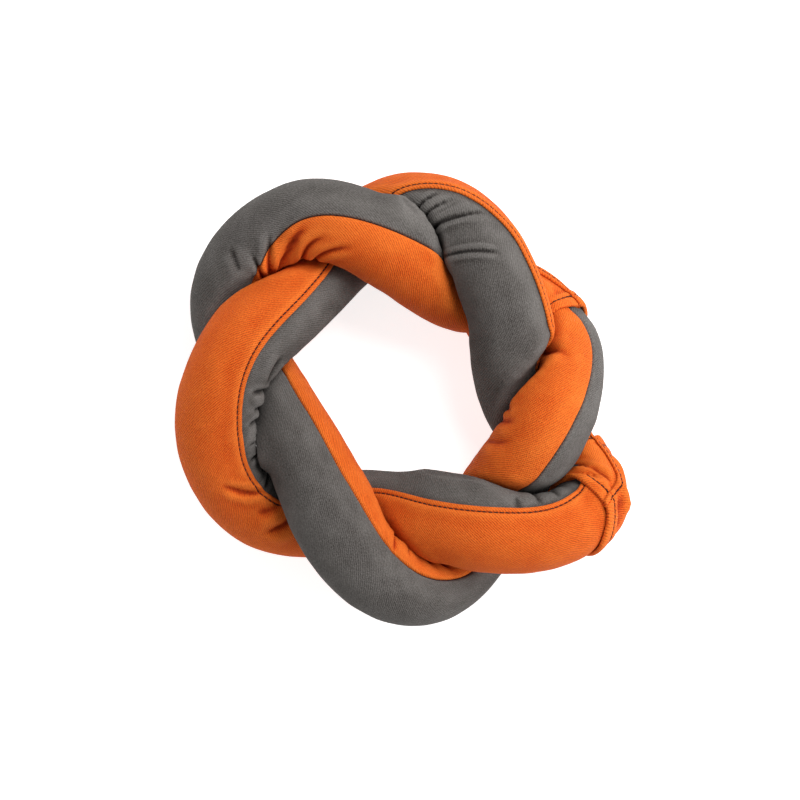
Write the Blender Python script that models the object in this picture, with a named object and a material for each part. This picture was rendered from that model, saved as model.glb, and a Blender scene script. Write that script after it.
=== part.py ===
"""Ring-shaped dog training bumper.

Two stuffed canvas rings are wound round each other three times, so they cross six times and can't come apart.
Each ring is one long tube: an orange and a grey panel sewn along two seams, round a stuffing core.
Its two ends meet inside an orange joining sleeve. It lies flat on z = 0, with its middle on the z axis.

Lengths are in millimetres until a mesh is made. An angle round a tube is 0 at the top and grows outwards.
"""

import math

import bpy
import numpy as np

# Driving dimensions
METRES = 0.001
TUBE_RADIUS = 21.5
MOST_BULGE = 1.16
RING_CLEARANCE = 1.6
RING_TURN = 2.0
PANEL_THICKNESS = 1.2
LAYER_GAP = 0.4
SEAM_GAP = 1.7
THREAD_RADIUS = 0.45
BUTT_GAP = 3.0
SLEEVE_LENGTH = 46.0
SLEEVE_THICKNESS = 1.6
SLEEVE_GAP = 1.3
SLEEVE_HEM = 8.0
SLEEVE_HEM_EXTRA = 0.7
SLEEVE_STITCH_INSET = 5.0
SLEEVE_TAPER = 10.0
GROOVE_HALF_WIDTH = 0.9
GROOVE_DEPTH = 0.9

# Mesh fineness
ROUTE_SAMPLES = 720
OTHER_RING_SAMPLES = 240
TURN_STEPS = 5
FREE_STATIONS = 40
SLEEVE_STATIONS = 6
ARC_STEPS = 6
SLEEVE_SIDES = 24
RAY_STEPS = 16
AREA_STEPS = 10
AREA_RAYS = 24
CORNER_SHARPNESS = 12
BEND_SHARE = 0.86

ORANGE = (0.75, 0.14, 0.02, 1)
GREY = (0.115, 0.105, 0.095, 1)
DARK_THREAD = (0.05, 0.03, 0.025, 1)
STUFFING_WHITE = (0.8, 0.78, 0.74, 1)

# Each ring's centre line, clockwise from the middle of its sleeve: x, y, height, and the top seam's angle in
# degrees. A strand is 56 high where it crosses over the other ring and 20 high where it passes under.
RING_1_ROUTE = (
    (66.9, 51.5, 20.7, 48.8),
    (76, 44, 24, 50),
    (86, 28, 33, 50),
    (87, 11, 45, 44),
    (80, -13, 56, 31),
    (62, -43, 40, 20),
    (46, -68, 20, 20),
    (31, -91, 24, 24),
    (10, -102, 38, -8),
    (-13, -95, 50, -40),
    (-38, -63, 56, -50),
    (-58, -22, 46, -42),
    (-74, 2, 30, -46),
    (-88, 27, 20, -50),
    (-94, 54, 27, -48),
    (-79, 83, 39, -24),
    (-50, 98, 50, -4),
    (-26, 94, 56, 10),
    (4, 79, 48, 22),
    (29, 64, 31, 30),
    (46, 58, 22, 36),
)
RING_1_END_SEAM = 41
RING_1_SLEEVE_SEAM = 62

RING_2_ROUTE = (
    (105, -47, 32, -20),
    (98, -62, 44, -34),
    (80, -70, 53, -36),
    (49, -70, 56, -30),
    (16, -66, 44, -30),
    (-14, -62, 27, -36),
    (-38, -64, 20, -32),
    (-71, -63, 25, -26),
    (-95, -41, 39, -34),
    (-101, -11, 51, -41),
    (-87, 28, 56, -26),
    (-62, 54, 42, -15),
    (-42, 74, 26, -8),
    (-25, 90, 20, 2),
    (-2, 101, 27, 18),
    (24, 98, 40, 38),
    (44, 79, 51, 52),
    (58, 51, 56, 55),
    (63, 21, 42, 64),
    (78, -12, 20, 76),
    (95, -27, 21, 80),
)
RING_2_END_SEAM = 80
RING_2_SLEEVE_SEAM = 40

# The middle of both rings, which goes on the z axis.
MIDDLE = (1.59, 1.12)


def clear_scene():
    for obj in list(bpy.data.objects):
        bpy.data.objects.remove(obj)


def material(name, colour, roughness):
    made = bpy.data.materials.new(name)
    made.use_nodes = True
    shader = made.node_tree.nodes["Principled BSDF"]
    shader.inputs["Base Color"].default_value = colour
    shader.inputs["Roughness"].default_value = roughness
    return made


def unit(vectors):
    return vectors / np.linalg.norm(vectors, axis=-1, keepdims=True)


def closed_spline(places, values, at):
    """A smooth closed curve through values, which lie at places; the last place is the first one again."""
    steps = np.diff(places)
    count = len(steps)
    matrix = np.zeros((count, count))
    slopes = np.diff(values, axis=0) / steps[:, None]
    right = np.zeros((count, values.shape[1]))
    for i in range(count):
        before, after = steps[i - 1], steps[i]
        matrix[i, i - 1] += before
        matrix[i, i] += 2 * (before + after)
        matrix[i, (i + 1) % count] += after
        right[i] = 6 * (slopes[i] - slopes[i - 1])
    bends = np.linalg.solve(matrix, right)
    bends = np.vstack([bends, bends[:1]])
    at = np.mod(at, places[-1])
    i = np.clip(np.searchsorted(places, at, side="right") - 1, 0, count - 1)
    step = steps[i][:, None]
    left, rest = (places[i + 1] - at)[:, None], (at - places[i])[:, None]
    return (
        bends[i] * left**3 / (6 * step)
        + bends[i + 1] * rest**3 / (6 * step)
        + (values[i] / step - bends[i] * step / 6) * left
        + (values[i + 1] / step - bends[i + 1] * step / 6) * rest
    )


class Route:
    """A ring's centre line by length along it, with its outward and upward directions and its seam angle."""

    def __init__(self, stations, end_seam):
        table = np.array(stations + (stations[0],), float)
        table[:, :2] -= MIDDLE
        places = np.append(0, np.cumsum(np.linalg.norm(np.diff(table[:, :3], axis=0), axis=1)))
        self.seam_turn = end_seam - stations[0][3]
        table[-1, 3] = end_seam
        table[:, 3] -= self.seam_turn * places / places[-1]
        curve = closed_spline(places, table, np.linspace(0, places[-1], ROUTE_SAMPLES + 1))
        self.lengths = np.append(0, np.cumsum(np.linalg.norm(np.diff(curve[:, :3], axis=0), axis=1)))
        self.length = self.lengths[-1]
        self.curve = curve

    def position(self, at):
        at = np.mod(at, self.length)
        return np.stack([np.interp(at, self.lengths, self.curve[:, k]) for k in range(3)], axis=1)

    def seams(self, at):
        """The top seam's angle in radians at lengths along the ring; it jumps where the ends meet."""
        level = np.interp(np.mod(at, self.length), self.lengths, self.curve[:, 3])
        return np.radians(level + self.seam_turn * np.mod(at, self.length) / self.length)

    def frames(self, at):
        """Centre points, outward and upward directions, and the direction and sharpness of the bend."""
        reach = self.length / 120
        centres, before, after = self.position(at), self.position(at - reach), self.position(at + reach)
        along = unit(after - before)
        outward = unit(np.cross([0.0, 0.0, 1.0], along))
        bend = (after - 2 * centres + before) / reach**2
        return centres, outward, np.cross(along, outward), bend

    def swept_points(self):
        """Points of the centre line in every position that the ring can be turned to about the z axis."""
        points = self.position(np.linspace(0, self.length, OTHER_RING_SAMPLES, endpoint=False))
        turned = []
        for turn in np.radians(np.linspace(-RING_TURN, RING_TURN, TURN_STEPS)):
            x = points[:, 0] * math.cos(turn) - points[:, 1] * math.sin(turn)
            y = points[:, 0] * math.sin(turn) + points[:, 1] * math.cos(turn)
            turned.append(np.stack([x, y, points[:, 2]], axis=1))
        return np.concatenate(turned)


def soft_least(first, second):
    """The smaller of two lengths, with the corner between them rounded off."""
    power = -CORNER_SHARPNESS
    return (first**power + second**power) ** (1 / power)


def ray_directions(outward, upward, angles):
    return np.cos(angles)[..., None] * upward[:, None] + np.sin(angles)[..., None] * outward[:, None]


def floor_reach(centres, rays):
    """How far each ray goes before it meets the ground."""
    return centres[:, None, 2] / np.maximum(-rays[..., 2], 1e-6)


class Tube:
    """The outer surface of one stuffed ring, pressed flat where it meets the other ring and the ground."""

    def __init__(self, route, other):
        self.route = route
        self.other = other.swept_points()

    def contact_reach(self, centres, rays):
        """How far each ray goes before it is nearer the other ring than its own centre line."""
        near = np.zeros(rays.shape[:-1])
        far = np.full(near.shape, TUBE_RADIUS * MOST_BULGE * 1.1)
        for _ in range(RAY_STEPS):
            middle = (near + far) / 2
            points = centres[:, None] + rays * middle[..., None]
            gaps = np.full(near.shape, np.inf)
            for part in np.array_split(self.other, 12):
                gaps = np.minimum(gaps, np.linalg.norm(points[..., None, :] - part, axis=-1).min(axis=-1))
            clear = gaps - middle > RING_CLEARANCE
            near = np.where(clear, middle, near)
            far = np.where(clear, far, middle)
        return near

    def limits(self, centres, rays, bend):
        """How far each ray may go: to the other ring, and to the middle of its own bend."""
        inwards = np.sum(rays * bend[:, None], axis=-1)
        own = BEND_SHARE / np.maximum(inwards, 1 / (TUBE_RADIUS * 4))
        return np.minimum(self.contact_reach(centres, rays), own)

    def reach(self, at, angles):
        """The surface's distance from the centre line at angles[place, side]; a squeezed tube bulges."""
        centres, outward, upward, bend = self.route.frames(at)
        whole = np.linspace(0, 2 * math.pi, AREA_RAYS, endpoint=False)[None, :].repeat(len(at), 0)
        rays = ray_directions(outward, upward, whole)
        limits = self.limits(centres, rays, bend)
        floor = floor_reach(centres, rays)
        low = np.full(len(at), TUBE_RADIUS * 0.9)
        high = np.full(len(at), TUBE_RADIUS * MOST_BULGE)
        for _ in range(AREA_STEPS):
            middle = (low + high) / 2
            radii = np.minimum(soft_least(middle[:, None], limits), floor)
            slack = np.mean(radii**2, axis=1) < TUBE_RADIUS**2
            low = np.where(slack, middle, low)
            high = np.where(slack, high, middle)
        rays = ray_directions(outward, upward, angles)
        radii = soft_least(low[:, None], self.limits(centres, rays, bend))
        return np.minimum(radii, floor_reach(centres, rays))

    def neck(self, at):
        """How much lower the panels lie where the joining sleeve is wound over them."""
        from_sleeve = np.minimum(at, self.route.length - at) - SLEEVE_LENGTH / 2
        fade = np.clip(1 - from_sleeve / SLEEVE_TAPER, 0, 1)
        return (SLEEVE_THICKNESS + SLEEVE_GAP) * fade * fade * (3 - 2 * fade)


def split_quad(points, corners):
    """The quad's two triangles, cut along its shorter diagonal so that a twisted tube stays smooth."""
    a, b, c, d = (station * points.shape[1] + side for station, side in corners)
    diagonals = [np.linalg.norm(points[corners[n]] - points[corners[n + 2]]) for n in (0, 1)]
    if diagonals[0] <= diagonals[1]:
        return [(a, b, c), (a, c, d)]
    return [(a, b, d), (b, c, d)]


def grid_mesh(name, points, ends_meet):
    """A closed mesh from points[station, side], each station a loop; the end loops meet or are capped."""
    stations, sides = points.shape[:2]
    faces = []
    for i in range(stations if ends_meet else stations - 1):
        for j in range(sides):
            k, m = (i + 1) % stations, (j + 1) % sides
            faces += split_quad(points, ((i, j), (i, m), (k, m), (k, j)))
    if not ends_meet:
        faces += [tuple(range(sides))[::-1], tuple(range((stations - 1) * sides, stations * sides))]
    mesh = bpy.data.meshes.new(name)
    mesh.from_pydata((points.reshape(-1, 3) * METRES).tolist(), [], faces)
    return mesh


def face_outwards(mesh):
    """Turns every face round if the mesh is inside out."""
    mesh.calc_loop_triangles()
    volume = 0.0
    for triangle in mesh.loop_triangles:
        a, b, c = (mesh.vertices[v].co for v in triangle.vertices)
        volume += a.dot(b.cross(c))
    if volume < 0:
        mesh.flip_normals()


class RingMaker:
    """Builds one ring's named pieces on its tube."""

    def __init__(self, name, tube, sleeve_seam, finishes, pivot):
        self.name = name
        self.tube = tube
        self.sleeve_seam = math.radians(sleeve_seam)
        self.finishes = finishes
        self.pivot = pivot
        self.stations = self.tube_stations(tube.route.length)
        self.top_seam = tube.route.seams(self.stations)[:, None]

    @staticmethod
    def tube_stations(length):
        """Places along the tube from one end to the other, close together under the sleeve."""
        sleeve = np.linspace(BUTT_GAP / 2, SLEEVE_LENGTH / 2 + SLEEVE_TAPER, SLEEVE_STATIONS)
        free = np.linspace(sleeve[-1], length - sleeve[-1], FREE_STATIONS + 2)[1:-1]
        return np.concatenate([sleeve, free, length - sleeve[::-1]])

    def add_node(self, name, points, finish, ends_meet=False):
        name = f"{self.name}_{name}"
        mesh = grid_mesh(name, points, ends_meet)
        face_outwards(mesh)
        mesh.shade_smooth()
        mesh.set_sharp_from_angle(angle=math.radians(40))
        mesh.materials.append(self.finishes[finish])
        node = bpy.data.objects.new(name, mesh)
        bpy.context.scene.collection.objects.link(node)
        node.parent = self.pivot

    def place(self, at, angles, depths):
        """Points below the tube's outer surface, by place along the ring, angle round it and depth."""
        centres, outward, upward, _ = self.tube.route.frames(at)
        radii = self.tube.reach(at, angles) - depths
        points = centres[:, None] + ray_directions(outward, upward, angles) * radii[..., None]
        points[..., 2] = np.maximum(points[..., 2], 0)
        return points

    def half_round(self, past_top_seam):
        """The angles of one panel's outline points, from just past one seam to just short of the other."""
        margin = SEAM_GAP / 2 / TUBE_RADIUS
        return self.top_seam + past_top_seam + np.linspace(margin, math.pi - margin, ARC_STEPS + 1)

    def panel(self, name, past_top_seam, finish):
        """One canvas strip, from the seam past_top_seam half way round the tube."""
        angles = self.half_round(past_top_seam)
        neck = self.tube.neck(self.stations)[:, None]
        outer = self.place(self.stations, angles, neck)
        inner = self.place(self.stations, angles, neck + PANEL_THICKNESS)
        self.add_node(name, np.concatenate([outer, inner[:, ::-1]], axis=1), finish)

    def core(self):
        angles = np.concatenate([self.half_round(0), self.half_round(math.pi)], axis=1)
        depths = self.tube.neck(self.stations)[:, None] + PANEL_THICKNESS + LAYER_GAP
        self.add_node("stuffing_core", self.place(self.stations, angles, depths), "stuffing")

    def seam_thread(self, name, past_top_seam):
        """The thread of a long seam, lying in the gap between the panels' edges."""
        half_turn = THREAD_RADIUS / TUBE_RADIUS
        turns = np.array([0, half_turn, 0, -half_turn])
        deeper = np.array([-THREAD_RADIUS, 0, THREAD_RADIUS, 0]) + PANEL_THICKNESS / 2
        depths = self.tube.neck(self.stations)[:, None] + deeper
        points = self.place(self.stations, self.top_seam + past_top_seam + turns, depths)
        self.add_node(name, points, "thread")

    def sleeve_places(self):
        """Places along the sleeve, and how deep its outside lies there below the top of its hems."""
        stitch = SLEEVE_STITCH_INSET
        half = (
            (0, 0),
            (stitch - GROOVE_HALF_WIDTH - 0.3, 0),
            (stitch - GROOVE_HALF_WIDTH, GROOVE_DEPTH),
            (stitch + GROOVE_HALF_WIDTH, GROOVE_DEPTH),
            (stitch + GROOVE_HALF_WIDTH + 0.3, 0),
            (SLEEVE_HEM, 0),
            (SLEEVE_HEM + 0.6, SLEEVE_HEM_EXTRA),
            (SLEEVE_LENGTH / 2 - 5, SLEEVE_HEM_EXTRA),
        )
        other_half = [(SLEEVE_LENGTH - place, depth) for place, depth in reversed(half)]
        return np.array(list(half) + other_half)

    def sleeve_angles(self):
        """Angles round the sleeve, and how much deeper its outside lies there; its own seam is a groove."""
        floor = GROOVE_HALF_WIDTH / TUBE_RADIUS
        edge = (GROOVE_HALF_WIDTH + 0.3) / TUBE_RADIUS
        plain = np.linspace(0, 2 * math.pi, SLEEVE_SIDES + 1)[1:-1]
        angles = np.concatenate([[-edge, -floor, floor, edge], plain]) + self.sleeve_seam
        depths = np.zeros(len(angles))
        depths[1:3] = GROOVE_DEPTH - SLEEVE_HEM_EXTRA
        return angles, depths

    def sleeve(self):
        """The joining sleeve: a short canvas tube with thicker hems and a groove for each row of stitches."""
        places, place_depths = self.sleeve_places().T
        angles, angle_depths = self.sleeve_angles()
        at = places - SLEEVE_LENGTH / 2
        angles = angles[None, :].repeat(len(at), 0)
        depths = place_depths[:, None] - SLEEVE_HEM_EXTRA + angle_depths
        outer = self.place(at, angles, depths)
        inner = self.place(at, angles, SLEEVE_THICKNESS)
        self.add_node("joining_sleeve", np.concatenate([outer, inner[::-1]]), "sleeve", ends_meet=True)

    def hem_thread(self, name, place):
        """The row of stitches that holds one end of the sleeve down, a ring of thread in its groove."""
        angles, _ = self.sleeve_angles()
        along = np.array([-THREAD_RADIUS, 0, THREAD_RADIUS, 0])
        rise = np.array([[0.0], [THREAD_RADIUS], [0.0], [-THREAD_RADIUS / 3]])
        at = place - SLEEVE_LENGTH / 2 + along
        depths = GROOVE_DEPTH - SLEEVE_HEM_EXTRA - THREAD_RADIUS - rise
        points = self.place(at, angles[None, :].repeat(4, 0), depths)
        self.add_node(name, np.swapaxes(points, 0, 1), "thread", ends_meet=True)

    def sleeve_seam_thread(self):
        """The row of stitches along the sleeve, from one hem to the other."""
        end = SLEEVE_LENGTH / 2 - SLEEVE_HEM - 2
        at = np.linspace(-end, end, 5)
        half_turn = THREAD_RADIUS / TUBE_RADIUS
        angles = self.sleeve_seam + np.array([[-half_turn, 0, half_turn, 0]])
        rise = np.array([0.0, THREAD_RADIUS, 0.0, -THREAD_RADIUS / 3])
        depths = (GROOVE_DEPTH - SLEEVE_HEM_EXTRA - THREAD_RADIUS - rise)[None, :].repeat(len(at), 0)
        self.add_node("sleeve_seam_thread", self.place(at, angles.repeat(len(at), 0), depths), "thread")


def build_ring(maker, outer_panel, inner_panel):
    """One ring; its outer panel runs from the top seam outwards, and its inner panel is the other half."""
    maker.core()
    maker.panel(f"{outer_panel}_panel", 0, outer_panel)
    maker.panel(f"{inner_panel}_panel", math.pi, inner_panel)
    maker.seam_thread("top_seam_thread", 0)
    maker.seam_thread("under_seam_thread", math.pi)
    maker.sleeve()
    maker.sleeve_seam_thread()
    maker.hem_thread("sleeve_start_hem_thread", SLEEVE_STITCH_INSET)
    maker.hem_thread("sleeve_end_hem_thread", SLEEVE_LENGTH - SLEEVE_STITCH_INSET)


def main():
    clear_scene()
    finishes = {
        "orange": material("orange_canvas", ORANGE, 0.85),
        "grey": material("grey_canvas", GREY, 0.85),
        "sleeve": material("sleeve_canvas", ORANGE, 0.85),
        "thread": material("dark_thread", DARK_THREAD, 0.6),
        "stuffing": material("stuffing", STUFFING_WHITE, 0.95),
    }
    first = Route(RING_1_ROUTE, RING_1_END_SEAM)
    second = Route(RING_2_ROUTE, RING_2_END_SEAM)
    turning = bpy.data.objects.new("ring_2_turning_axis", None)
    bpy.context.scene.collection.objects.link(turning)
    ring_1 = RingMaker("ring_1", Tube(first, second), RING_1_SLEEVE_SEAM, finishes, None)
    ring_2 = RingMaker("ring_2", Tube(second, first), RING_2_SLEEVE_SEAM, finishes, turning)
    build_ring(ring_1, "grey", "orange")
    build_ring(ring_2, "orange", "grey")


main()
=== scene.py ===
"""Canvas, stitching and stage for a ring-shaped dog training bumper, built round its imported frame.

Two stuffed canvas rings are wound round each other. Each is a tube of an orange and a grey panel, whose
ends meet in a joining sleeve. Lengths are in millimetres until a mesh is made. An angle round a tube is 0
at the top and grows outwards, and a turn is an angle counted from a seam.
"""

import math

import bpy
import mathutils
import numpy as np
from bpy.props import FloatProperty, FloatVectorProperty, PointerProperty
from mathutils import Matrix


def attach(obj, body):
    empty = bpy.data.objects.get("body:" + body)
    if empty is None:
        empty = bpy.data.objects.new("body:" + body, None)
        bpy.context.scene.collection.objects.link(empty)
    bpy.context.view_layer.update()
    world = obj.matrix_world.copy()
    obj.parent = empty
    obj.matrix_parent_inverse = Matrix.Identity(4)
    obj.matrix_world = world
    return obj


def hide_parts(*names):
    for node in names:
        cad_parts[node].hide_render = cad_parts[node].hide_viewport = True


bl_info = {
    "name": "Training bumper",
    "version": (1, 0, 0),
    "blender": (4, 5, 0),
    "location": "View3D > Sidebar > Bumper",
    "description": "Builds the canvas, stitching and stage of a ring-shaped training bumper",
    "category": "Object",
}

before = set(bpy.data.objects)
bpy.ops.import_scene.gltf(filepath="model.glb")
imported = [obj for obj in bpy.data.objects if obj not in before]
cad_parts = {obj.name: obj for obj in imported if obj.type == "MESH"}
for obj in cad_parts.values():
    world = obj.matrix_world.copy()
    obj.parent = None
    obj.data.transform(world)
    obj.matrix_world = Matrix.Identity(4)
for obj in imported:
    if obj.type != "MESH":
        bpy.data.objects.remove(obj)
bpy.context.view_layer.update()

METRES = 0.001

# Each ring's centre line, clockwise from the middle of its sleeve: x, y, height, and the top seam's angle in
# degrees. These are the points that the frame's solids follow.
RING_1_ROUTE = (
    (66.9, 51.5, 20.7, 48.8),
    (76, 44, 24, 50),
    (86, 28, 33, 50),
    (87, 11, 45, 44),
    (80, -13, 56, 31),
    (62, -43, 40, 20),
    (46, -68, 20, 20),
    (31, -91, 24, 24),
    (10, -102, 38, -8),
    (-13, -95, 50, -40),
    (-38, -63, 56, -50),
    (-58, -22, 46, -42),
    (-74, 2, 30, -46),
    (-88, 27, 20, -50),
    (-94, 54, 27, -48),
    (-79, 83, 39, -24),
    (-50, 98, 50, -4),
    (-26, 94, 56, 10),
    (4, 79, 48, 22),
    (29, 64, 31, 30),
    (46, 58, 22, 36),
)
RING_2_ROUTE = (
    (105, -47, 32, -20),
    (98, -62, 44, -34),
    (80, -70, 53, -36),
    (49, -70, 56, -30),
    (16, -66, 44, -30),
    (-14, -62, 27, -36),
    (-38, -64, 20, -32),
    (-71, -63, 25, -26),
    (-95, -41, 39, -34),
    (-101, -11, 51, -41),
    (-87, 28, 56, -26),
    (-62, 54, 42, -15),
    (-42, 74, 26, -8),
    (-25, 90, 20, 2),
    (-2, 101, 27, 18),
    (24, 98, 40, 38),
    (44, 79, 51, 52),
    (58, 51, 56, 55),
    (63, 21, 42, 64),
    (78, -12, 20, 76),
    (95, -27, 21, 80),
)
MIDDLE = (1.59, 1.12)
END_SEAMS = {"ring_1": 41, "ring_2": 80}

# The angle of each sleeve's seam, in degrees, at places along it in mm
SLEEVE_SEAMS = {
    "ring_1": ((-28, 62), (28, 62)),
    "ring_2": ((-28, 36), (-8, 35), (3, 34), (9, 24), (15, 12), (20, 8), (28, 8)),
}

# How finely the surfaces are worked out
ROUTE_SAMPLES = 720
BEND_SAMPLES = 120
OTHER_RING_SAMPLES = 240
POINTS_AT_ONCE = 60
TURN_STEPS = 3
ROUGH_PLACES = 150
ROUGH_TURNS = 48
RAY_STEPS = 14
AREA_STEPS = 10
GRID_PLACES = 400
GRID_TURNS = 80

# How a tube gives way: its least radius and the longest ray as shares of a free tube's radius, how many radii
# wide a gentle bend is, the share of a bend's own radius that the tube fills, how sharp the corners of its
# pressed sides are, and the room in mm that it keeps beside the other ring at rest
LEAST_RADIUS = 0.9
LONGEST_RAY = 1.1
GENTLE_BEND = 4
BEND_SHARE = 0.86
CORNER_SHARPNESS = 12
CLEARANCE_AT_REST = 0.4

# How much of each soft piece's space it fills
SOFT_FILL = 0.85


# ---------------------------------------------------------------- settings


class TubeSettings(bpy.types.PropertyGroup):
    radius: FloatProperty(name="Tube radius", description="Radius of a free tube, mm", default=21.5)
    bulge: FloatProperty(name="Most bulge", description="Most a squeezed tube widens", default=1.16)
    clearance: FloatProperty(name="Clearance", description="Space between the rings, mm", default=1.0)
    ring_turn: FloatProperty(
        name="Ring turn", description="How far one ring slips round in the other",
        default=math.radians(2), unit="ROTATION",
    )
    spare_cloth: FloatProperty(
        name="Spare cloth", description="Share by which the canvas is longer on the inside of a bend",
        default=0.16,
    )
    pressure: FloatProperty(name="Filling pressure", description="Push of the stuffing", default=4.0)


class SewingSettings(bpy.types.PropertyGroup):
    stitch_length: FloatProperty(name="Stitch length", description="From stitch to stitch, mm", default=3.1)
    thread_radius: FloatProperty(name="Thread radius", description="Half a thread's width, mm", default=0.4)
    topstitch_inset: FloatProperty(
        name="Topstitch inset", description="From a folded edge to its stitches, mm", default=2.7
    )
    seam_depth: FloatProperty(name="Seam depth", description="How deep a plain seam sinks, mm", default=2.4)
    lap_rise: FloatProperty(name="Lap rise", description="How far a lapped edge stands up, mm", default=1.2)
    sleeve_length: FloatProperty(
        name="Sleeve length", description="Length of a joining sleeve, mm", default=46
    )
    hem_width: FloatProperty(name="Hem width", description="Width of a sleeve's hems, mm", default=8)
    hem_inset: FloatProperty(
        name="Hem inset", description="From a sleeve's end to its stitches, mm", default=5
    )


class CanvasSettings(bpy.types.PropertyGroup):
    orange: FloatVectorProperty(
        name="Orange", description="Colour of the orange canvas", subtype="COLOR",
        default=(0.62, 0.076, 0.004),
    )
    grey: FloatVectorProperty(
        name="Grey", description="Colour of the grey canvas", subtype="COLOR",
        default=(0.056, 0.049, 0.044),
    )
    thread: FloatVectorProperty(
        name="Thread", description="Colour of the sewing thread", subtype="COLOR",
        default=(0.02, 0.009, 0.007),
    )
    weave_pitch: FloatProperty(name="Weave pitch", description="From rib to rib, mm", default=1.3)
    weave_depth: FloatProperty(name="Weave depth", description="Height of the ribs, mm", default=0.36)


class StageSettings(bpy.types.PropertyGroup):
    floor: FloatVectorProperty(
        name="Floor", description="Colour of the floor", subtype="COLOR",
        default=(0.7, 0.7, 0.7),
    )
    view_width: FloatProperty(name="View width", description="Width seen at the bumper, mm", default=442.4)
    camera_height: FloatProperty(name="Camera height", description="Above the bumper, mm", default=1500)
    lamp_power: FloatProperty(
        name="Lamp power", description="Power of the main lamp", default=23, unit="POWER"
    )


def tube_settings():
    return bpy.context.scene.bumper_tube


def sewing_settings():
    return bpy.context.scene.bumper_sewing


def canvas_settings():
    return bpy.context.scene.bumper_canvas


# ---------------------------------------------------------------- centre lines


def unit(vectors):
    return vectors / np.linalg.norm(vectors, axis=-1, keepdims=True)


def smooth_step(share):
    share = np.clip(share, 0, 1)
    return share * share * (3 - 2 * share)


def bell(distance, width):
    return np.exp(-((distance / width) ** 2))


def closed_spline(places, values, at):
    """A smooth closed curve through values, which lie at places; the last place is the first one again."""
    steps = np.diff(places)
    count = len(steps)
    matrix = np.zeros((count, count))
    slopes = np.diff(values, axis=0) / steps[:, None]
    right = np.zeros((count, values.shape[1]))
    for i in range(count):
        before, after = steps[i - 1], steps[i]
        matrix[i, i - 1] += before
        matrix[i, i] += 2 * (before + after)
        matrix[i, (i + 1) % count] += after
        right[i] = 6 * (slopes[i] - slopes[i - 1])
    bends = np.linalg.solve(matrix, right)
    bends = np.vstack([bends, bends[:1]])
    at = np.mod(at, places[-1])
    i = np.clip(np.searchsorted(places, at, side="right") - 1, 0, count - 1)
    step = steps[i][:, None]
    left, rest = (places[i + 1] - at)[:, None], (at - places[i])[:, None]
    return (
        bends[i] * left**3 / (6 * step)
        + bends[i + 1] * rest**3 / (6 * step)
        + (values[i] / step - bends[i] * step / 6) * left
        + (values[i + 1] / step - bends[i + 1] * step / 6) * rest
    )


class Route:
    """A ring's centre line by length along it, with its outward and upward directions and its seam angle."""

    def __init__(self, stations, end_seam):
        table = np.array(stations + (stations[0],), float)
        table[:, :2] -= MIDDLE
        places = np.append(0, np.cumsum(np.linalg.norm(np.diff(table[:, :3], axis=0), axis=1)))
        self.seam_turn = end_seam - stations[0][3]
        table[-1, 3] = end_seam
        table[:, 3] -= self.seam_turn * places / places[-1]
        curve = closed_spline(places, table, np.linspace(0, places[-1], ROUTE_SAMPLES + 1))
        self.lengths = np.append(0, np.cumsum(np.linalg.norm(np.diff(curve[:, :3], axis=0), axis=1)))
        self.length = self.lengths[-1]
        self.curve = curve

    def position(self, at):
        at = np.mod(at, self.length)
        return np.stack([np.interp(at, self.lengths, self.curve[:, k]) for k in range(3)], axis=1)

    def seams(self, at):
        """The top seam's angle in radians at lengths along the ring; it jumps where the ends meet."""
        level = np.interp(np.mod(at, self.length), self.lengths, self.curve[:, 3])
        return np.radians(level + self.seam_turn * np.mod(at, self.length) / self.length)

    def frames(self, at):
        """Centre points, outward and upward directions, and the direction and sharpness of the bend."""
        reach = self.length / BEND_SAMPLES
        centres, before, after = self.position(at), self.position(at - reach), self.position(at + reach)
        along = unit(after - before)
        outward = unit(np.cross([0.0, 0.0, 1.0], along))
        bend = (after - 2 * centres + before) / reach**2
        return centres, outward, np.cross(along, outward), bend

    def swept_points(self):
        """Points of the centre line in every position that the ring can be turned to about the z axis."""
        points = self.position(np.linspace(0, self.length, OTHER_RING_SAMPLES, endpoint=False))
        most = tube_settings().ring_turn
        turned = []
        for turn in np.linspace(-most, most, TURN_STEPS):
            x = points[:, 0] * math.cos(turn) - points[:, 1] * math.sin(turn)
            y = points[:, 0] * math.sin(turn) + points[:, 1] * math.cos(turn)
            turned.append(np.stack([x, y, points[:, 2]], axis=1))
        return np.concatenate(turned)


# ---------------------------------------------------------------- the stuffed tube's surface


def soft_least(first, second):
    """The smaller of two lengths, with the corner between them rounded off."""
    power = -CORNER_SHARPNESS
    return (first**power + second**power) ** (1 / power)


def ray_directions(outward, upward, angles):
    return np.cos(angles)[..., None] * upward[:, None] + np.sin(angles)[..., None] * outward[:, None]


def floor_reach(centres, rays):
    return centres[:, None, 2] / np.maximum(-rays[..., 2], 1e-6)


def cubic_read(values, at, closed):
    """Values between the rows of an evenly spaced table, at positions counted in rows."""
    count = len(values)
    whole = np.floor(at).astype(int)
    if not closed:
        whole = np.clip(whole, 0, count - 2)
    part = (at - whole).reshape((-1,) + (1,) * (values.ndim - 1))
    taps = []
    for step in (-1, 0, 1, 2):
        row = whole + step
        taps.append(values[np.mod(row, count) if closed else np.clip(row, 0, count - 1)])
    a, b, c, d = taps
    return 0.5 * (
        2 * b + (c - a) * part + (2 * a - 5 * b + 4 * c - d) * part**2 + (3 * b - a - 3 * c + d) * part**3
    )


def soft_noise(at, turns, length, spot, seed):
    """Smooth random heights from -1 to 1 over a tube; spot is the size of a bump in millimetres."""
    radius = tube_settings().radius
    rows = max(4, round(length / spot))
    columns = max(3, round(2 * math.pi * radius / spot))
    table = np.random.default_rng(seed).uniform(-1, 1, (rows, columns))
    table = cubic_read(table, np.mod(at, length) / length * rows, closed=True)
    return cubic_read(table.T, np.mod(turns / (2 * math.pi), 1) * columns, closed=True).T


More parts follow.
